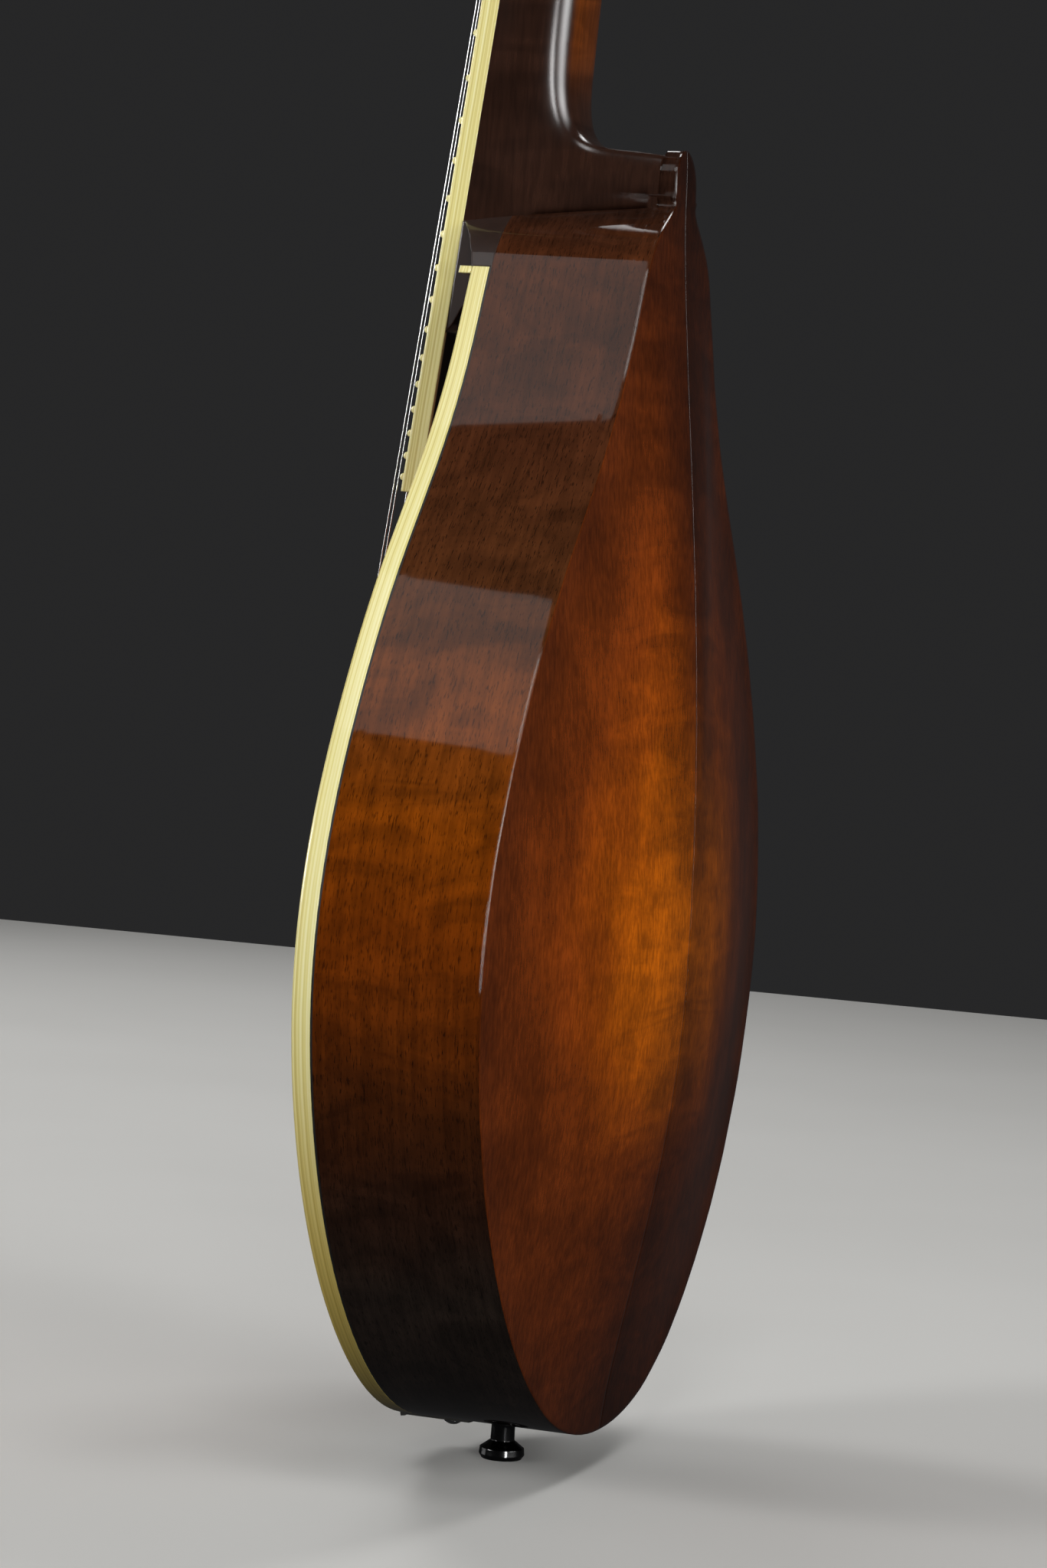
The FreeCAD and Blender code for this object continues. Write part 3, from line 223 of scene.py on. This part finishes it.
def maple_back():
    """Book-matched flamed maple under glossy sunburst lacquer, with its edge like the ribs.

    The bass half is painted darker as painted shade, and a band on both sides of the seam is painted darker
    too.
    """
    graph = Graph("maple_back_lacquer", roughness=0.5, coat=1.0, coat_roughness=0.05, specular=0.0)
    shade = burst(graph, 0.215, 0.13, 0.185)
    colour = graph.ramp(shade, (
        (0.0, (0.46, 0.103, 0.001)), (0.2, (0.34, 0.074, 0.001)), (0.33, (0.20, 0.039, 0.0015)),
        (0.45, (0.125, 0.023, 0.002)), (0.6, (0.082, 0.0155, 0.002)), (0.8, (0.068, 0.013, 0.002)),
        (1.0, (0.040, 0.0085, 0.002)),
    ))
    x, y, _ = graph.axes()
    from_seam = graph.math("ABSOLUTE", x)
    flame = graph.noise(mirrored_place(graph, 20, 20, 85, 0.06), 1.0, 4.0, 0.6, 1.0)
    in_middle = graph.fade(from_seam, 0.02, 0.075, 1.0, 0.35)
    ripple = graph.math("MULTIPLY", graph.fade(flame, 0.3, 0.7, -0.24, 0.24), in_middle)
    colour = graph.tint(colour, graph.math("ADD", ripple, 1.0))
    blotch = graph.noise(mirrored_place(graph, 45, 45, 30), 1.0, 5.0, 0.65)
    colour = graph.tint(colour, graph.fade(blotch, 0.25, 0.75, 0.68, 1.34))
    grain = graph.noise(mirrored_place(graph, 1100, 1100, 230, 0.05), 1.0, 3.0, 0.7)
    colour = graph.tint(colour, graph.fade(grain, 0.32, 0.68, 0.74, 1.26))
    # Painted shade: the bass half is darkened to 0.56 of the treble half's colour, with a step at the seam.
    colour = graph.tint(colour, graph.fade(x, -0.0003, 0.0, 0.56, 1.0))
    colour = graph.tint(colour, graph.fade(from_seam, 0.004, 0.036, 0.55, 1.0))
    colour = seam_line(graph, colour, 0.6)
    outward = graph.add("ShaderNodeSeparateXYZ")
    graph.feed(outward.inputs[0], graph.add("ShaderNodeTexCoord").outputs["Normal"])
    face = graph.fade(outward.outputs[1], 0.3, 0.5)
    edge_colour, _ = rib_wood(graph)
    graph.set("Base Color", graph.mix(face, edge_colour, colour))
    outer = graph.fade(y, BACK_RIM_Y + 0.0018, BACK_RIM_Y + 0.0022)
    graph.relief(grain, 0.00002, rounding=0.0018, where=outer)
    return graph.material


def rib_wood(graph):
    """Colour of the body's side and its pores: amber brown at the waist, near black at tail and neck, partly
    sunburst and partly painted shade.
    """
    level = graph.math("DIVIDE", graph.axes()[2], BODY_TOP_Z)
    cloud = graph.math("MULTIPLY", graph.math("SUBTRACT", graph.noise(graph.place, 30.0, 2.0), 0.5), 0.08)
    # Painted shade in part: the colour along the height follows both the sunburst and the fall of the light.
    colour = graph.ramp(graph.math("ADD", level, cloud), (
        (0.0, (0.030, 0.020, 0.016)), (0.13, (0.022, 0.014, 0.010)), (0.22, (0.026, 0.009, 0.004)),
        (0.30, (0.050, 0.012, 0.002)), (0.40, (0.125, 0.024, 0.001)), (0.50, (0.140, 0.030, 0.001)),
        (0.57, (0.120, 0.030, 0.004)), (0.68, (0.055, 0.017, 0.005)), (0.80, (0.048, 0.014, 0.005)),
        (0.93, (0.058, 0.016, 0.005)), (0.985, (0.020, 0.0078, 0.0045)),
    ))
    flame = graph.noise(graph.stretched(9, 34, 75), 1.0, 3.0, 0.55, 1.2)
    colour = graph.tint(colour, graph.fade(flame, 0.3, 0.7, 0.72, 1.3))
    streak = graph.noise(graph.stretched(60, 620, 26), 1.0, 3.0, 0.6)
    colour = graph.tint(colour, graph.fade(streak, 0.3, 0.7, 0.8, 1.2))
    pores = graph.noise(graph.stretched(420, 2600, 420), 1.0, 2.0, 0.5)
    colour = graph.tint(colour, graph.fade(pores, 0.30, 0.46, 0.42, 1.0))
    return colour, pores


def maple_ribs():
    """Flamed maple bent round the body."""
    graph = Graph("maple_rib_lacquer", roughness=0.5, coat=1.0, coat_roughness=0.045, specular=0.0)
    colour, pores = rib_wood(graph)
    graph.set("Base Color", colour)
    graph.relief(pores, 0.00002)
    return graph.material


def spruce_top():
    """Straight-grained spruce under the same sunburst lacquer."""
    graph = Graph("spruce_top_lacquer", roughness=0.5, coat=1.0, coat_roughness=0.05, specular=0.0)
    shade = burst(graph, 0.22, 0.135, 0.118)
    colour = graph.ramp(shade, (
        (0.0, (0.72, 0.30, 0.05)), (0.3, (0.58, 0.20, 0.025)), (0.55, (0.30, 0.075, 0.010)),
        (0.78, (0.085, 0.020, 0.006)), (1.0, (0.018, 0.007, 0.005)),
    ))
    wander = graph.noise(mirrored_place(graph, 30, 0, 4), 1.0, 2.0)
    rings = graph.noise(mirrored_place(graph, 900, 0, 5), 1.0, 1.0, 0.5, 0.2)
    fine = graph.noise(mirrored_place(graph, 3000, 0, 40), 1.0, 2.0, 0.6)
    colour = graph.tint(colour, graph.fade(rings, 0.35, 0.62, 0.72, 1.12))
    colour = graph.tint(colour, graph.fade(fine, 0.3, 0.7, 0.9, 1.1))
    colour = graph.tint(colour, graph.fade(wander, 0.3, 0.7, 0.9, 1.1))
    graph.set("Base Color", seam_line(graph, colour, 0.65))
    graph.relief(rings, 0.00002, rounding=0.0006)
    return graph.material


def maple_neck():
    """Dark brown lacquer, rubbed lighter along the back of the neck, soft over the heel's edges."""
    graph = Graph("maple_neck_lacquer", roughness=0.5, coat=1.0, coat_roughness=0.2, specular=0.0)
    x, y, z = graph.axes()
    middle = graph.fade(graph.math("ABSOLUTE", x), 0.009, 0.0125, 1.0, 0.0)
    above_heel = graph.fade(z, BODY_TOP_Z + 0.022, BODY_TOP_Z + 0.045)
    amount = graph.math("MULTIPLY", middle, above_heel)
    colour = graph.mix(amount, (0.020, 0.0078, 0.0045), (0.11, 0.026, 0.004))
    grain = graph.noise(graph.stretched(900, 900, 70), 1.0, 3.0, 0.65)
    flame = graph.noise(graph.stretched(20, 20, 85), 1.0, 2.0, 0.5, 1.0)
    colour = graph.tint(colour, graph.fade(flame, 0.3, 0.7, 0.72, 1.25))
    colour = graph.tint(colour, graph.fade(grain, 0.3, 0.7, 0.78, 1.18))
    graph.set("Base Color", colour)
    behind_board = graph.fade(y, -0.014, -0.008)
    before_joint = graph.fade(y, BACK_RIM_Y - 0.0035, BACK_RIM_Y - 0.0015, 1.0, 0.0)
    graph.relief(grain, 0.00002, rounding=0.003, where=graph.math("MULTIPLY", behind_board, before_joint))
    return graph.material


def dark_riser():
    """The near-black lacquered extension under the fretboard."""
    graph = Graph("dark_riser_lacquer", roughness=0.35, coat=1.0, coat_roughness=0.04)
    grain = graph.noise(graph.stretched(700, 700, 60), 1.0, 3.0, 0.6)
    graph.set("Base Color", graph.mix(grain, (0.010, 0.006, 0.005), (0.032, 0.014, 0.009)))
    graph.relief(grain, 0.00001, rounding=0.0006)
    return graph.material


def lining_wood():
    """Bare mahogany blocks and kerfed linings inside."""
    graph = Graph("bare_lining_wood", roughness=0.75)
    grain = graph.noise(graph.stretched(300, 300, 40), 1.0, 4.0, 0.6)
    graph.set("Base Color", graph.mix(grain, (0.42, 0.25, 0.12), (0.66, 0.46, 0.27)))
    graph.relief(grain, 0.0001)
    return graph.material


def ebony(name, coat):
    """Near-black wood with faint brown streaks and fine open pores."""
    graph = Graph(name, roughness=0.42, coat=coat, coat_roughness=0.2)
    streak = graph.noise(graph.stretched(140, 140, 9), 1.0, 4.0, 0.6, 0.4)
    pores = graph.noise(graph.stretched(2200, 2200, 150), 1.0, 2.0, 0.5)
    colour = graph.mix(graph.fade(streak, 0.45, 0.75), (0.012, 0.010, 0.009), (0.052, 0.030, 0.020))
    graph.set("Base Color", graph.tint(colour, graph.fade(pores, 0.3, 0.45, 0.4, 1.0)))
    graph.relief(pores, 0.00004, rounding=0.0005)
    return graph.material


def black_overlay():
    """Glossy black headstock veneer with a trace of grain."""
    graph = Graph("black_overlay_lacquer", roughness=0.3, coat=1.0, coat_roughness=0.03)
    grain = graph.noise(graph.stretched(500, 500, 30), 1.0, 3.0, 0.6)
    graph.set("Base Color", graph.mix(grain, (0.006, 0.006, 0.006), (0.020, 0.017, 0.016)))
    graph.relief(grain, 0.00001, rounding=0.0004)
    return graph.material


# Plastics, bone and pearl
def ivoroid():
    """Cream celluloid with fine lengthwise lamination lines, darker toward the tail, partly lacquer toning and
    partly painted shade.
    """
    graph = Graph("ivoroid", roughness=0.3, coat=1.0, coat_roughness=0.06, specular=0.45)
    _, y, z = graph.axes()
    forward = graph.along((0, -1, 0))
    on_board = graph.fade(forward, BOARD_BINDING_DEPTH - 0.0001, BOARD_BINDING_DEPTH + 0.0001)
    tilted = graph.along((0, math.cos(FINGERBOARD_TILT), -math.sin(FINGERBOARD_TILT)))
    above_top = graph.fade(z, BODY_TOP_Z - 0.012, BODY_TOP_Z - 0.011)
    board = graph.math("MAXIMUM", on_board, above_top)
    layer = graph.add("ShaderNodeMix", data_type="FLOAT")
    graph.feed(layer.inputs[0], board)
    graph.feed(layer.inputs[2], y)
    graph.feed(layer.inputs[3], tilted)
    wobble = graph.math("MULTIPLY", graph.noise(graph.place, 60.0, 1.0), 0.0003)
    sheet = graph.math("ADD", layer.outputs[0], wobble)
    line_place = graph.add("ShaderNodeCombineXYZ")
    graph.feed(line_place.inputs[0], graph.math("MULTIPLY", sheet, 1900.0))
    graph.feed(line_place.inputs[1], graph.math("MULTIPLY", z, 3.0))
    lines = graph.noise(line_place.outputs[0], 1.0, 1.0, 0.4)
    colour = graph.ramp(lines, (
        (0.32, (0.60, 0.49, 0.16)), (0.5, (0.75, 0.67, 0.26)), (0.68, (0.86, 0.81, 0.45)),
    ))
    # Toward the tail the binding turns darker and more amber: partly lacquer toning, partly painted shade.
    toned_and_shaded = graph.ramp(lines, ((0.32, (0.56, 0.40, 0.08)), (0.68, (0.80, 0.62, 0.17))))
    graph.set("Base Color", graph.mix(graph.fade(z, 0.035, 0.13), toned_and_shaded, colour))
    graph.set("Subsurface Weight", 0.12)
    graph.set("Subsurface Radius", (1.0, 0.8, 0.4))
    graph.set("Subsurface Scale", 0.0012)
    graph.relief(lines, 0.00001, rounding=0.0006)
    return graph.material


def black_line():
    """Black fibre under the binding, faintly mottled."""
    graph = Graph("black_line_fibre", roughness=0.4, coat=0.6)
    fibre = graph.noise(graph.place, 1500.0, 2.0)
    graph.set("Base Color", graph.mix(fibre, (0.006, 0.006, 0.006), (0.022, 0.020, 0.018)))
    return graph.material


def bone():
    """Polished bone: cream with faint darker pores."""
    graph = Graph("bone", roughness=0.3, specular=0.5)
    pores = graph.noise(graph.stretched(300, 1800, 1800), 1.0, 3.0)
    graph.set("Base Color", graph.ramp(pores, ((0.3, (0.62, 0.54, 0.36)), (0.55, (0.83, 0.78, 0.63)))))
    graph.set("Subsurface Weight", 0.15)
    graph.set("Subsurface Scale", 0.001)
    graph.relief(pores, 0.00002, rounding=0.0003)
    return graph.material


def pearl_colour(graph, scale):
    """Cloudy mother of pearl: grey-white with green and pink drifts."""
    drift = graph.noise(graph.place, scale, 3.0, 0.6, 1.5)
    return graph.ramp(drift, (
        (0.25, (0.50, 0.56, 0.52)), (0.42, (0.80, 0.82, 0.76)), (0.55, (0.86, 0.80, 0.78)),
        (0.7, (0.62, 0.70, 0.72)), (0.85, (0.90, 0.90, 0.86)),
    ))


def pearl_dots():
    """Polished pearl for the position markers."""
    graph = Graph("mother_of_pearl", roughness=0.22, coat=0.8)
    graph.set("Base Color", pearl_colour(graph, 700.0))
    return graph.material


def side_dots():
    """Black plastic for the dots on the board's edge."""
    graph = Graph("black_side_dots", roughness=0.3, coat=0.5)
    speck = graph.noise(graph.place, 2500.0, 2.0)
    graph.set("Base Color", graph.mix(speck, (0.008, 0.008, 0.008), (0.03, 0.026, 0.024)))
    return graph.material


# Metal
def metal(name, low, high, roughness, scale=400.0, stretch=(1, 1, 1), rounding=0.0003):
    """Plated or polished metal with faint handling haze and brush marks."""
    graph = Graph(name, roughness=roughness, metallic=1.0)
    haze = graph.noise(graph.place, 90.0, 4.0, 0.6)
    brush = graph.noise(graph.stretched(*stretch), scale, 3.0, 0.7)
    graph.set("Base Color", graph.mix(haze, low, high))
    graph.set("Roughness", graph.fade(haze, 0.3, 0.7, roughness * 0.7, roughness * 1.5))
    graph.relief(brush, 0.000006, rounding=rounding)
    return graph.material


def wound_strings():
    """Bronze wrap wire, with a fine groove at every turn, painted darker in the groove as painted shade."""
    graph = Graph("wound_string", roughness=0.28, metallic=1.0)
    _, _, z = graph.axes()
    turn = graph.math("SINE", graph.math("MULTIPLY", z, 2 * math.pi / STRING_WRAP_PITCH))
    tarnish = graph.noise(graph.place, 60.0, 3.0)
    colour = graph.mix(tarnish, (0.66, 0.46, 0.27), (0.82, 0.64, 0.42))
    # Painted shade: the colour darkens to 0.35 in each groove between turns.
    graph.set("Base Color", graph.tint(colour, graph.fade(turn, -1.0, 0.2, 0.35, 1.0)))
    graph.relief(turn, 0.00004)
    return graph.material


def tuner_keys():
    """Nickel shaft and worm, with a cloudy pearloid button at the outer end."""
    graph = Graph("tuner_key", roughness=0.2, coat=0.5)
    x, _, _ = graph.axes()
    button = graph.fade(graph.math("ABSOLUTE", x), BUTTON_X - 0.0001, BUTTON_X + 0.0001)
    haze = graph.noise(graph.place, 120.0, 3.0)
    nickel = graph.mix(haze, NICKEL_SHADE, (0.78, 0.76, 0.70))
    graph.set("Base Color", graph.mix(button, nickel, pearl_colour(graph, 260.0)))
    graph.set("Metallic", graph.math("SUBTRACT", 1.0, button))
    graph.relief(haze, 0.00001, rounding=0.0004)
    return graph.material


def tuner_posts():
    """Nickel post through the headstock, brass gear wheel behind it."""
    graph = Graph("tuner_post", roughness=0.22, metallic=1.0)
    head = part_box("headstock_overlay")
    back = (0, math.cos(HEAD_TILT), -math.sin(HEAD_TILT))
    face = Vector((0, head[0].y, head[0].z)).dot(Vector(back))
    gear_face = face + GEAR_BEHIND_FACE
    gear = graph.fade(graph.along(back), gear_face - 0.0001, gear_face + 0.0001)
    haze = graph.noise(graph.place, 150.0, 3.0)
    brass = graph.mix(haze, (0.62, 0.44, 0.17), (0.80, 0.62, 0.30))
    nickel = graph.mix(haze, NICKEL_SHADE, (0.80, 0.78, 0.72))
    graph.set("Base Color", graph.mix(gear, nickel, brass))
    graph.relief(haze, 0.00001, rounding=0.0003)
    return graph.material


MATERIALS = {
    "spruce_top": spruce_top(),
    "maple_back": maple_back(),
    "maple_ribs": maple_ribs(),
    "ivoroid_binding": ivoroid(),
    "black_line": black_line(),
    "lining_wood": lining_wood(),
    "maple_neck": maple_neck(),
    "dark_riser": dark_riser(),
    "steel_fasteners": metal("plated_steel", (0.50, 0.50, 0.49), (0.66, 0.66, 0.65), 0.3),
    "black_overlay": black_overlay(),
    "ebony_board": ebony("ebony_board", 0.25),
    "ebony_bridge": ebony("ebony_bridge", 0.15),
    "fret_wire": metal("fret_wire", (0.70, 0.69, 0.64), (0.84, 0.83, 0.79), 0.16, 900.0, (0.05, 1, 1)),
    "pearl_dots": pearl_dots(),
    "side_dot_black": side_dots(),
    "bone_nut": bone(),
    "wound_strings": wound_strings(),
    "plain_strings": metal("plain_string", (0.62, 0.62, 0.61), (0.80, 0.80, 0.79), 0.18, rounding=0.0),
    "nickel_hardware": metal("nickel", (0.66, 0.64, 0.58), (0.80, 0.78, 0.72), 0.12),
    "tuner_keys": tuner_keys(),
    "tuner_posts": tuner_posts(),
    "brass_bridge_hardware": metal("polished_brass", (0.66, 0.48, 0.20), (0.82, 0.66, 0.34), 0.2),
    "dark_strap_button": metal("black_nickel", (0.05, 0.05, 0.052), (0.13, 0.13, 0.13), 0.14),
}

for part in record["subparts"]:
    slots = nodes[part["node"]].data.materials
    slots.clear()
    slots.append(MATERIALS[part["material_slot"]])


# Studio
def floor():
    """A plain pale floor that the strap button's end stands on."""
    mesh = bpy.data.meshes.new("floor")
    half = 1.6
    level = cad_box[0][2]
    corners = [(-half, -half, level), (half, -half, level), (half, half, level), (-half, half, level)]
    mesh.from_pydata(corners, [], [(0, 1, 2, 3)])
    piece = bpy.data.objects.new("floor", mesh)
    bpy.context.scene.collection.objects.link(piece)
    graph = Graph("pale_floor", roughness=0.8, specular=0.2)
    cloud = graph.noise(graph.place, 3.0, 3.0)
    graph.set("Base Color", graph.mix(cloud, (0.42, 0.415, 0.40), (0.48, 0.475, 0.46)))
    mesh.materials.append(graph.material)
    piece.visible_glossy = False
    piece.visible_diffuse = False


def hot_centre(light, centre, rim):
    """Makes a soft box brighter in the middle than at its rim."""
    light.use_nodes = True
    tree = light.node_tree
    place = tree.nodes.new("ShaderNodeNewGeometry").outputs["Parametric"]
    offset = tree.nodes.new("ShaderNodeVectorMath")
    offset.operation = "DISTANCE"
    offset.inputs[1].default_value = (0.5, 0.5, 0)
    fall = tree.nodes.new("ShaderNodeMapRange")
    fall.interpolation_type = "SMOOTHSTEP"
    fall.inputs["From Max"].default_value = 0.5
    fall.inputs["To Min"].default_value = centre
    fall.inputs["To Max"].default_value = rim
    tree.links.new(place, offset.inputs[0])
    tree.links.new(offset.outputs["Value"], fall.inputs["Value"])
    tree.links.new(fall.outputs[0], tree.nodes["Emission"].inputs["Strength"])


def soft_box(name, direction, distance, width, height, radiance, hot=0.0, aim=(0, 0, 0.2)):
    """A rectangular light that faces the instrument from a direction, fading outwards where it is hot."""
    light = bpy.data.lights.new(name, "AREA")
    light.shape = "RECTANGLE"
    light.size = width
    light.size_y = height
    light.energy = radiance * math.pi * width * height
    if hot:
        hot_centre(light, 1 + hot, LAMP_RIM)
    toward = Vector(direction).normalized()
    lamp = bpy.data.objects.new(name, light)
    lamp.location = Vector(aim) + toward * distance
    lamp.rotation_euler = toward.to_track_quat("Z", "Y").to_euler()
    lamp.visible_camera = False
    bpy.context.scene.collection.objects.link(lamp)


def lights():
    """Soft boxes all round and a dim even background."""
    soft_box("overhead_box", (0.479, -0.33, 0.813), 1.6, 0.55, 0.54, 0.75)
    soft_box("key_box", (0.62, -0.73, 0.28), 1.7, 0.7, 0.7, 20.0, hot=1.0)
    soft_box("back_box", (0.25, 0.93, 0.26), 1.6, 1.1, 1.1, 12.0, hot=0.3)
    soft_box("edge_strip", (0.75, 0.66, 0.03), 1.6, 0.2, 0.6, 24.0)
    soft_box("top_box", (0.58, 0.21, 0.79), 1.6, 0.35, 0.35, 12.0)
    soft_box("front_box", (-0.39, -0.65, 0.66), 1.8, 0.5, 0.5, 14.0)
    soft_box("front_fill", (0.0, -1.0, 0.12), 1.9, 1.2, 1.2, 0.9)
    soft_box("rear_box", (-0.41, 0.29, 0.87), 1.7, 0.4, 0.4, 16.0)
    soft_box("left_box", (-0.72, -0.45, 0.5), 1.8, 0.7, 0.7, 4.0)
    world = bpy.data.worlds.new("studio")
    world.use_nodes = True
    background = world.node_tree.nodes["Background"]
    background.inputs["Color"].default_value = (0.02, 0.02, 0.0205, 1)
    background.inputs["Strength"].default_value = 1.0
    bpy.context.scene.world = world
    bpy.context.scene.view_settings.view_transform = "Standard"


def camera():
    """Beside and slightly behind the instrument, a little above its middle, rolled a few degrees."""
    place = Vector((1.0969, 0.3597, 0.2189))
    azimuth = math.radians(108.49)
    elevation = math.radians(2.09)
    roll = math.radians(3.95)
    back = Vector((
        math.sin(azimuth) * math.cos(elevation),
        -math.cos(azimuth) * math.cos(elevation),
        math.sin(elevation),
    ))
    level = Vector((math.cos(azimuth), math.sin(azimuth), 0))
    upright = back.cross(level)
    right = level * math.cos(roll) + upright * math.sin(roll)
    up = upright * math.cos(roll) - level * math.sin(roll)
    data = bpy.data.cameras.new("camera")
    data.sensor_width = 36
    data.lens = 95.45
    eye = bpy.data.objects.new("camera", data)
    turn = Matrix((right, up, back)).transposed().to_4x4()
    eye.matrix_world = Matrix.Translation(place) @ turn
    bpy.context.scene.collection.objects.link(eye)
    bpy.context.scene.camera = eye


floor()
lights()
camera()
